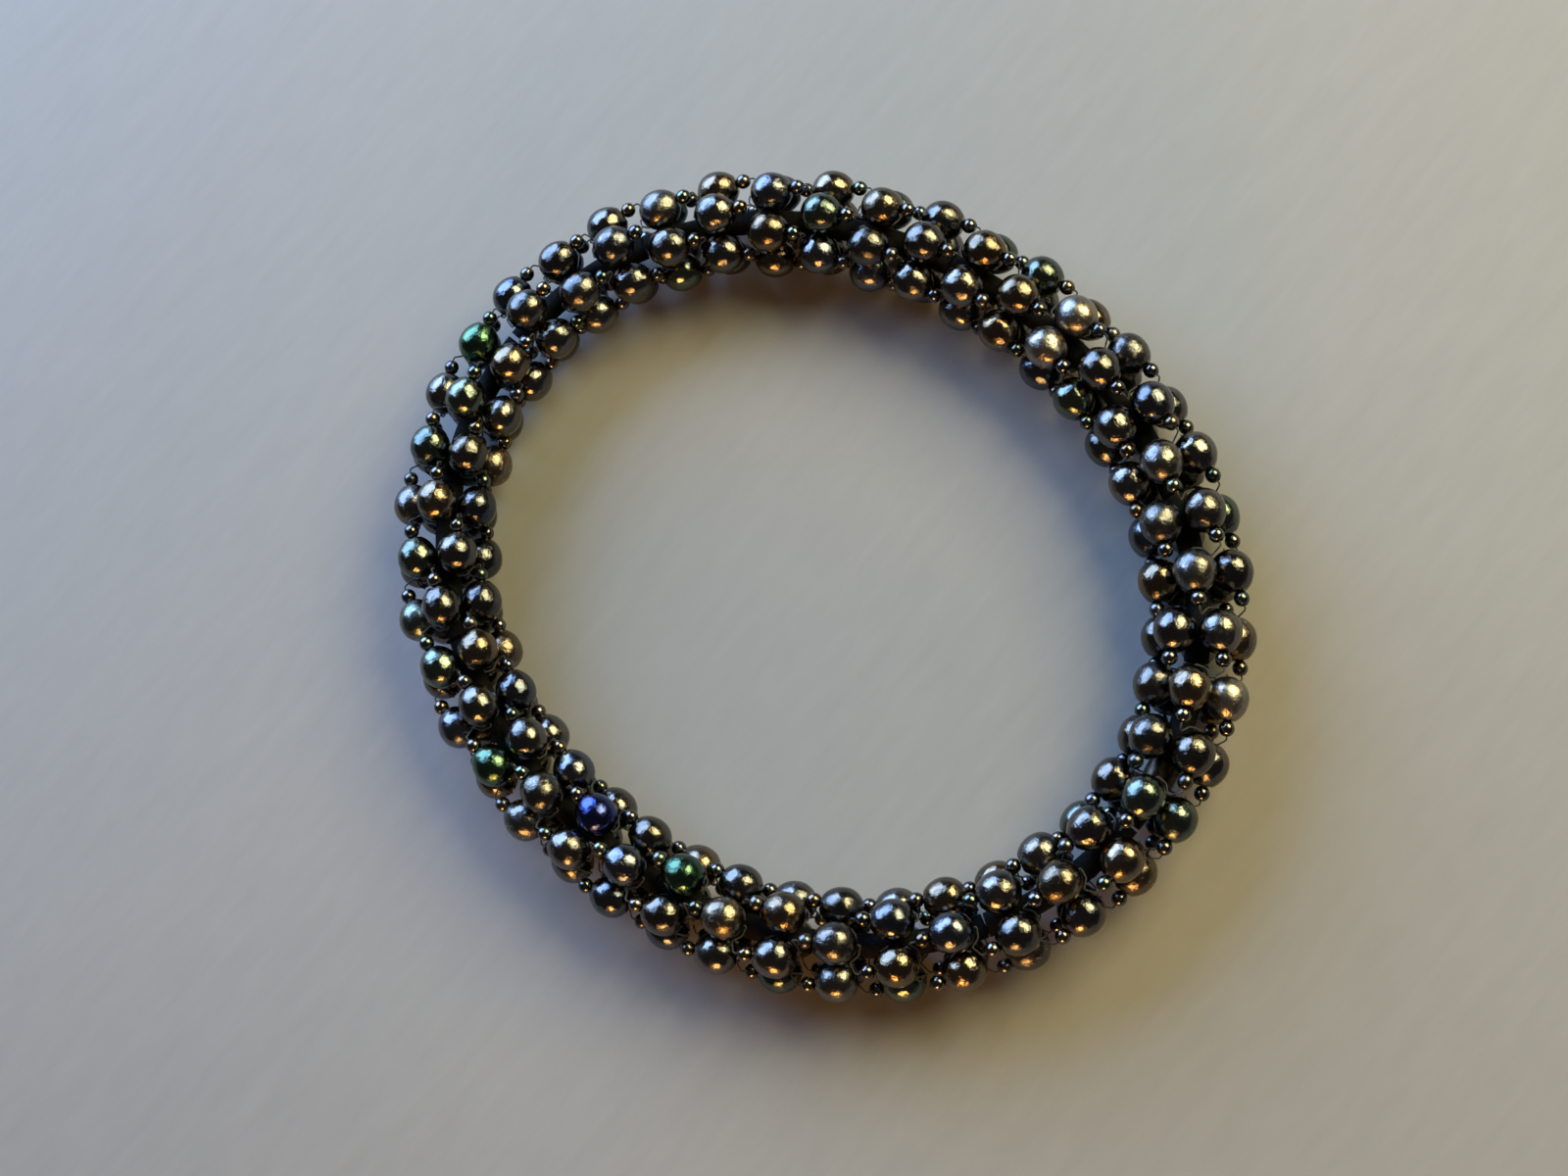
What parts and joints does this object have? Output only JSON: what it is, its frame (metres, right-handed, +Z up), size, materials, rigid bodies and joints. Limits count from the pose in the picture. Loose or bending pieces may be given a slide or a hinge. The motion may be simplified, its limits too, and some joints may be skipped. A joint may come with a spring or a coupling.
{
  "type": "roll-on beaded rope bracelet",
  "caption": "Closed roll-on bracelet: a rope of drop-shaped gunmetal beads in staggered rosettes with small linking beads between them, with no clasp.",
  "frame": {"origin": "centre of the ring's outline, on the surface that the ring lies on", "axes": "+Z up from that surface through the ring, +X along the oval's long axis, +Y along its short axis"},
  "size_m": [0.0914, 0.079, 0.0114],
  "materials": {
    "beads": "dark gunmetal, polished, with slight wear",
    "core": "matt elastic cord",
    "thread": "waxed dark thread",
    "crimp": "dull"
  },
  "bodies": {
    "core_segment_01": {"core_segment_01": "core", "core_crimp": "crimp", "stringing_thread": "thread"},
    "core_segment_02": {"core_segment_02": "core"},
    "core_segment_03": {"core_segment_03": "core"},
    "core_segment_04": {"core_segment_04": "core"},
    "core_segment_05": {"core_segment_05": "core"},
    "core_segment_06": {"core_segment_06": "core"},
    "core_segment_07": {"core_segment_07": "core"},
    "core_segment_08": {"core_segment_08": "core"},
    "core_segment_09": {"core_segment_09": "core"},
    "core_segment_10": {"core_segment_10": "core"},
    "core_segment_11": {"core_segment_11": "core"},
    "core_segment_12": {"core_segment_12": "core"},
    "core_segment_13": {"core_segment_13": "core"},
    "core_segment_14": {"core_segment_14": "core"},
    "bead_row_01": {"bead_row_01": "beads"},
    "bead_row_02": {"bead_row_02": "beads"},
    "bead_row_03": {"bead_row_03": "beads"},
    "bead_row_04": {"bead_row_04": "beads"},
    "bead_row_05": {"bead_row_05": "beads"},
    "bead_row_06": {"bead_row_06": "beads"},
    "bead_row_07": {"bead_row_07": "beads"},
    "bead_row_08": {"bead_row_08": "beads"},
    "bead_row_09": {"bead_row_09": "beads"},
    "bead_row_10": {"bead_row_10": "beads"},
    "bead_row_11": {"bead_row_11": "beads"},
    "bead_row_12": {"bead_row_12": "beads"},
    "bead_row_13": {"bead_row_13": "beads"},
    "bead_row_14": {"bead_row_14": "beads"},
    "bead_row_15": {"bead_row_15": "beads"},
    "bead_row_16": {"bead_row_16": "beads"},
    "bead_row_17": {"bead_row_17": "beads"},
    "bead_row_18": {"bead_row_18": "beads"},
    "bead_row_19": {"bead_row_19": "beads"},
    "bead_row_20": {"bead_row_20": "beads"},
    "bead_row_21": {"bead_row_21": "beads"},
    "bead_row_22": {"bead_row_22": "beads"},
    "bead_row_23": {"bead_row_23": "beads"},
    "bead_row_24": {"bead_row_24": "beads"},
    "bead_row_25": {"bead_row_25": "beads"},
    "bead_row_26": {"bead_row_26": "beads"},
    "bead_row_27": {"bead_row_27": "beads"},
    "bead_row_28": {"bead_row_28": "beads"},
    "bead_row_29": {"bead_row_29": "beads"},
    "bead_row_30": {"bead_row_30": "beads"},
    "bead_row_31": {"bead_row_31": "beads"},
    "bead_row_32": {"bead_row_32": "beads"},
    "bead_row_33": {"bead_row_33": "beads"},
    "bead_row_34": {"bead_row_34": "beads"},
    "bead_row_35": {"bead_row_35": "beads"},
    "bead_row_36": {"bead_row_36": "beads"},
    "bead_row_37": {"bead_row_37": "beads"},
    "bead_row_38": {"bead_row_38": "beads"},
    "bead_row_39": {"bead_row_39": "beads"},
    "bead_row_40": {"bead_row_40": "beads"},
    "bead_row_41": {"bead_row_41": "beads"},
    "bead_row_42": {"bead_row_42": "beads"}
  },
  "joints": [
    {"name": "flex_14", "type": "hinge", "parent": "core_segment_01", "child": "core_segment_14", "pos_m": [0.04032, 0, 0.0057], "axis": [0, 0, 1], "range_deg": [-4, 6], "deforming": ["stringing_thread"]},
    {"name": "flex_01", "type": "hinge", "parent": "core_segment_01", "child": "core_segment_02", "pos_m": [0.03588, 0.01599, 0.0057], "axis": [0, 0, 1], "range_deg": [-3.75, 2.5]},
    {"name": "flex_02", "type": "hinge", "parent": "core_segment_02", "child": "core_segment_03", "pos_m": [0.02409, 0.02772, 0.0057], "axis": [0, 0, 1], "range_deg": [-0.9, 1.34]},
    {"name": "flex_03", "type": "hinge", "parent": "core_segment_03", "child": "core_segment_04", "pos_m": [0.00837, 0.03335, 0.0057], "axis": [0, 0, 1], "range_deg": [-3.61, 5.41]},
    {"name": "flex_04", "type": "hinge", "parent": "core_segment_04", "child": "core_segment_05", "pos_m": [-0.00837, 0.03335, 0.0057], "axis": [0, 0, 1], "range_deg": [-3.61, 5.41]},
    {"name": "flex_05", "type": "hinge", "parent": "core_segment_05", "child": "core_segment_06", "pos_m": [-0.02409, 0.02772, 0.0057], "axis": [0, 0, 1], "range_deg": [-0.9, 1.34]},
    {"name": "flex_06", "type": "hinge", "parent": "core_segment_06", "child": "core_segment_07", "pos_m": [-0.03588, 0.01599, 0.0057], "axis": [0, 0, 1], "range_deg": [-3.75, 2.5]},
    {"name": "flex_13", "type": "hinge", "parent": "core_segment_14", "child": "core_segment_13", "pos_m": [0.03588, -0.01599, 0.0057], "axis": [0, 0, 1], "range_deg": [-2.5, 3.75]},
    {"name": "flex_12", "type": "hinge", "parent": "core_segment_13", "child": "core_segment_12", "pos_m": [0.02409, -0.02772, 0.0057], "axis": [0, 0, 1], "range_deg": [-1.34, 0.9]},
    {"name": "flex_11", "type": "hinge", "parent": "core_segment_12", "child": "core_segment_11", "pos_m": [0.00837, -0.03335, 0.0057], "axis": [0, 0, 1], "range_deg": [-5.41, 3.61]},
    {"name": "flex_10", "type": "hinge", "parent": "core_segment_11", "child": "core_segment_10", "pos_m": [-0.00837, -0.03335, 0.0057], "axis": [0, 0, 1], "range_deg": [-5.41, 3.61]},
    {"name": "flex_09", "type": "hinge", "parent": "core_segment_10", "child": "core_segment_09", "pos_m": [-0.02409, -0.02772, 0.0057], "axis": [0, 0, 1], "range_deg": [-1.34, 0.9]},
    {"name": "flex_08", "type": "hinge", "parent": "core_segment_09", "child": "core_segment_08", "pos_m": [-0.03588, -0.01599, 0.0057], "axis": [0, 0, 1], "range_deg": [-2.5, 3.75]},
    {"name": "row_roll_01", "type": "hinge", "parent": "core_segment_01", "child": "bead_row_01", "pos_m": [0.0402, 0.0028, 0.0057], "axis": [-0.091, 0.9958, 0], "continuous": true, "deforming": ["stringing_thread"]},
    {"name": "row_roll_02", "type": "hinge", "parent": "core_segment_01", "child": "bead_row_02", "pos_m": [0.03918, 0.0083, 0.0057], "axis": [-0.2691, 0.9631, 0], "continuous": true},
    {"name": "row_roll_03", "type": "hinge", "parent": "core_segment_01", "child": "bead_row_03", "pos_m": [0.0372, 0.01352, 0.0057], "axis": [-0.4357, 0.9001, 0], "continuous": true},
    {"name": "row_roll_04", "type": "hinge", "parent": "core_segment_02", "child": "bead_row_04", "pos_m": [0.03434, 0.01833, 0.0057], "axis": [-0.5845, 0.8114, 0], "continuous": true},
    {"name": "row_roll_05", "type": "hinge", "parent": "core_segment_02", "child": "bead_row_05", "pos_m": [0.0307, 0.02257, 0.0057], "axis": [-0.711, 0.7032, 0], "continuous": true},
    {"name": "row_roll_06", "type": "hinge", "parent": "core_segment_02", "child": "bead_row_06", "pos_m": [0.02643, 0.02618, 0.0057], "axis": [-0.8128, 0.5826, 0], "continuous": true},
    {"name": "row_roll_07", "type": "hinge", "parent": "core_segment_03", "child": "bead_row_07", "pos_m": [0.02165, 0.02909, 0.0057], "axis": [-0.8896, 0.4568, 0], "continuous": true},
    {"name": "row_roll_08", "type": "hinge", "parent": "core_segment_03", "child": "bead_row_08", "pos_m": [0.0165, 0.0313, 0.0057], "axis": [-0.9431, 0.3325, 0], "continuous": true},
    {"name": "row_roll_09", "type": "hinge", "parent": "core_segment_03", "child": "bead_row_09", "pos_m": [0.01112, 0.03282, 0.0057], "axis": [-0.9767, 0.2146, 0], "continuous": true},
    {"name": "row_roll_10", "type": "hinge", "parent": "core_segment_04", "child": "bead_row_10", "pos_m": [0.00559, 0.03371, 0.0057], "axis": [-0.9945, 0.1045, 0], "continuous": true},
    {"name": "row_roll_11", "type": "hinge", "parent": "core_segment_04", "child": "bead_row_11", "pos_m": [0, 0.03401, 0.0057], "axis": [-1, 0, 0], "continuous": true},
    {"name": "row_roll_12", "type": "hinge", "parent": "core_segment_04", "child": "bead_row_12", "pos_m": [-0.00559, 0.03371, 0.0057], "axis": [-0.9945, -0.1045, 0], "continuous": true},
    {"name": "row_roll_13", "type": "hinge", "parent": "core_segment_05", "child": "bead_row_13", "pos_m": [-0.01112, 0.03282, 0.0057], "axis": [-0.9767, -0.2146, 0], "continuous": true},
    {"name": "row_roll_14", "type": "hinge", "parent": "core_segment_05", "child": "bead_row_14", "pos_m": [-0.0165, 0.0313, 0.0057], "axis": [-0.9431, -0.3325, 0], "continuous": true},
    {"name": "row_roll_15", "type": "hinge", "parent": "core_segment_05", "child": "bead_row_15", "pos_m": [-0.02165, 0.02909, 0.0057], "axis": [-0.8896, -0.4568, 0], "continuous": true},
    {"name": "row_roll_16", "type": "hinge", "parent": "core_segment_06", "child": "bead_row_16", "pos_m": [-0.02643, 0.02618, 0.0057], "axis": [-0.8128, -0.5826, 0], "continuous": true},
    {"name": "row_roll_17", "type": "hinge", "parent": "core_segment_06", "child": "bead_row_17", "pos_m": [-0.0307, 0.02257, 0.0057], "axis": [-0.711, -0.7032, 0], "continuous": true},
    {"name": "row_roll_18", "type": "hinge", "parent": "core_segment_06", "child": "bead_row_18", "pos_m": [-0.03434, 0.01833, 0.0057], "axis": [-0.5845, -0.8114, 0], "continuous": true},
    {"name": "row_roll_19", "type": "hinge", "parent": "core_segment_07", "child": "bead_row_19", "pos_m": [-0.0372, 0.01352, 0.0057], "axis": [-0.4357, -0.9001, 0], "continuous": true},
    {"name": "row_roll_20", "type": "hinge", "parent": "core_segment_07", "child": "bead_row_20", "pos_m": [-0.03918, 0.0083, 0.0057], "axis": [-0.2691, -0.9631, 0], "continuous": true},
    {"name": "row_roll_21", "type": "hinge", "parent": "core_segment_07", "child": "bead_row_21", "pos_m": [-0.0402, 0.0028, 0.0057], "axis": [-0.091, -0.9958, 0], "continuous": true},
    {"name": "row_roll_22", "type": "hinge", "parent": "core_segment_08", "child": "bead_row_22", "pos_m": [-0.0402, -0.0028, 0.0057], "axis": [0.091, -0.9958, 0], "continuous": true},
    {"name": "row_roll_23", "type": "hinge", "parent": "core_segment_08", "child": "bead_row_23", "pos_m": [-0.03918, -0.0083, 0.0057], "axis": [0.2691, -0.9631, 0], "continuous": true},
    {"name": "row_roll_24", "type": "hinge", "parent": "core_segment_08", "child": "bead_row_24", "pos_m": [-0.0372, -0.01352, 0.0057], "axis": [0.4357, -0.9001, 0], "continuous": true},
    {"name": "row_roll_25", "type": "hinge", "parent": "core_segment_09", "child": "bead_row_25", "pos_m": [-0.03434, -0.01833, 0.0057], "axis": [0.5845, -0.8114, 0], "continuous": true},
    {"name": "row_roll_26", "type": "hinge", "parent": "core_segment_09", "child": "bead_row_26", "pos_m": [-0.0307, -0.02257, 0.0057], "axis": [0.711, -0.7032, 0], "continuous": true},
    {"name": "row_roll_27", "type": "hinge", "parent": "core_segment_09", "child": "bead_row_27", "pos_m": [-0.02643, -0.02618, 0.0057], "axis": [0.8128, -0.5826, 0], "continuous": true},
    {"name": "row_roll_28", "type": "hinge", "parent": "core_segment_10", "child": "bead_row_28", "pos_m": [-0.02165, -0.02909, 0.0057], "axis": [0.8896, -0.4568, 0], "continuous": true},
    {"name": "row_roll_29", "type": "hinge", "parent": "core_segment_10", "child": "bead_row_29", "pos_m": [-0.0165, -0.0313, 0.0057], "axis": [0.9431, -0.3325, 0], "continuous": true},
    {"name": "row_roll_30", "type": "hinge", "parent": "core_segment_10", "child": "bead_row_30", "pos_m": [-0.01112, -0.03282, 0.0057], "axis": [0.9767, -0.2146, 0], "continuous": true},
    {"name": "row_roll_31", "type": "hinge", "parent": "core_segment_11", "child": "bead_row_31", "pos_m": [-0.00559, -0.03371, 0.0057], "axis": [0.9945, -0.1045, 0], "continuous": true},
    {"name": "row_roll_32", "type": "hinge", "parent": "core_segment_11", "child": "bead_row_32", "pos_m": [0, -0.03401, 0.0057], "axis": [1, 0, 0], "continuous": true},
    {"name": "row_roll_33", "type": "hinge", "parent": "core_segment_11", "child": "bead_row_33", "pos_m": [0.00559, -0.03371, 0.0057], "axis": [0.9945, 0.1045, 0], "continuous": true},
    {"name": "row_roll_34", "type": "hinge", "parent": "core_segment_12", "child": "bead_row_34", "pos_m": [0.01112, -0.03282, 0.0057], "axis": [0.9767, 0.2146, 0], "continuous": true},
    {"name": "row_roll_35", "type": "hinge", "parent": "core_segment_12", "child": "bead_row_35", "pos_m": [0.0165, -0.0313, 0.0057], "axis": [0.9431, 0.3325, 0], "continuous": true},
    {"name": "row_roll_36", "type": "hinge", "parent": "core_segment_12", "child": "bead_row_36", "pos_m": [0.02165, -0.02909, 0.0057], "axis": [0.8896, 0.4568, 0], "continuous": true},
    {"name": "row_roll_37", "type": "hinge", "parent": "core_segment_13", "child": "bead_row_37", "pos_m": [0.02643, -0.02618, 0.0057], "axis": [0.8128, 0.5826, 0], "continuous": true},
    {"name": "row_roll_38", "type": "hinge", "parent": "core_segment_13", "child": "bead_row_38", "pos_m": [0.0307, -0.02257, 0.0057], "axis": [0.711, 0.7032, 0], "continuous": true},
    {"name": "row_roll_39", "type": "hinge", "parent": "core_segment_13", "child": "bead_row_39", "pos_m": [0.03434, -0.01833, 0.0057], "axis": [0.5845, 0.8114, 0], "continuous": true},
    {"name": "row_roll_40", "type": "hinge", "parent": "core_segment_14", "child": "bead_row_40", "pos_m": [0.0372, -0.01352, 0.0057], "axis": [0.4357, 0.9001, 0], "continuous": true},
    {"name": "row_roll_41", "type": "hinge", "parent": "core_segment_14", "child": "bead_row_41", "pos_m": [0.03918, -0.0083, 0.0057], "axis": [0.2691, 0.9631, 0], "continuous": true},
    {"name": "row_roll_42", "type": "hinge", "parent": "core_segment_14", "child": "bead_row_42", "pos_m": [0.0402, -0.0028, 0.0057], "axis": [0.091, 0.9958, 0], "continuous": true}
  ],
  "couplings": [
    {"joint": "flex_01", "follows": "flex_14", "ratio": -0.62349},
    {"joint": "flex_02", "follows": "flex_14", "ratio": 0.22252},
    {"joint": "flex_03", "follows": "flex_14", "ratio": 0.90097},
    {"joint": "flex_04", "follows": "flex_14", "ratio": 0.90097},
    {"joint": "flex_05", "follows": "flex_14", "ratio": 0.22252},
    {"joint": "flex_06", "follows": "flex_14", "ratio": -0.62349},
    {"joint": "flex_13", "follows": "flex_14", "ratio": 0.62349},
    {"joint": "flex_12", "follows": "flex_14", "ratio": -0.22252},
    {"joint": "flex_11", "follows": "flex_14", "ratio": -0.90097},
    {"joint": "flex_10", "follows": "flex_14", "ratio": -0.90097},
    {"joint": "flex_09", "follows": "flex_14", "ratio": -0.22252},
    {"joint": "flex_08", "follows": "flex_14", "ratio": 0.62349},
    {"joint": "row_roll_02", "follows": "row_roll_01", "ratio": 1},
    {"joint": "row_roll_03", "follows": "row_roll_01", "ratio": 1},
    {"joint": "row_roll_04", "follows": "row_roll_01", "ratio": 1},
    {"joint": "row_roll_05", "follows": "row_roll_01", "ratio": 1},
    {"joint": "row_roll_06", "follows": "row_roll_01", "ratio": 1},
    {"joint": "row_roll_07", "follows": "row_roll_01", "ratio": 1},
    {"joint": "row_roll_08", "follows": "row_roll_01", "ratio": 1},
    {"joint": "row_roll_09", "follows": "row_roll_01", "ratio": 1},
    {"joint": "row_roll_10", "follows": "row_roll_01", "ratio": 1},
    {"joint": "row_roll_11", "follows": "row_roll_01", "ratio": 1},
    {"joint": "row_roll_12", "follows": "row_roll_01", "ratio": 1},
    {"joint": "row_roll_13", "follows": "row_roll_01", "ratio": 1},
    {"joint": "row_roll_14", "follows": "row_roll_01", "ratio": 1},
    {"joint": "row_roll_15", "follows": "row_roll_01", "ratio": 1},
    {"joint": "row_roll_16", "follows": "row_roll_01", "ratio": 1},
    {"joint": "row_roll_17", "follows": "row_roll_01", "ratio": 1},
    {"joint": "row_roll_18", "follows": "row_roll_01", "ratio": 1},
    {"joint": "row_roll_19", "follows": "row_roll_01", "ratio": 1},
    {"joint": "row_roll_20", "follows": "row_roll_01", "ratio": 1},
    {"joint": "row_roll_21", "follows": "row_roll_01", "ratio": 1},
    {"joint": "row_roll_22", "follows": "row_roll_01", "ratio": 1},
    {"joint": "row_roll_23", "follows": "row_roll_01", "ratio": 1},
    {"joint": "row_roll_24", "follows": "row_roll_01", "ratio": 1},
    {"joint": "row_roll_25", "follows": "row_roll_01", "ratio": 1},
    {"joint": "row_roll_26", "follows": "row_roll_01", "ratio": 1},
    {"joint": "row_roll_27", "follows": "row_roll_01", "ratio": 1},
    {"joint": "row_roll_28", "follows": "row_roll_01", "ratio": 1},
    {"joint": "row_roll_29", "follows": "row_roll_01", "ratio": 1},
    {"joint": "row_roll_30", "follows": "row_roll_01", "ratio": 1},
    {"joint": "row_roll_31", "follows": "row_roll_01", "ratio": 1},
    {"joint": "row_roll_32", "follows": "row_roll_01", "ratio": 1},
    {"joint": "row_roll_33", "follows": "row_roll_01", "ratio": 1},
    {"joint": "row_roll_34", "follows": "row_roll_01", "ratio": 1},
    {"joint": "row_roll_35", "follows": "row_roll_01", "ratio": 1},
    {"joint": "row_roll_36", "follows": "row_roll_01", "ratio": 1},
    {"joint": "row_roll_37", "follows": "row_roll_01", "ratio": 1},
    {"joint": "row_roll_38", "follows": "row_roll_01", "ratio": 1},
    {"joint": "row_roll_39", "follows": "row_roll_01", "ratio": 1},
    {"joint": "row_roll_40", "follows": "row_roll_01", "ratio": 1},
    {"joint": "row_roll_41", "follows": "row_roll_01", "ratio": 1},
    {"joint": "row_roll_42", "follows": "row_roll_01", "ratio": 1}
  ]
}
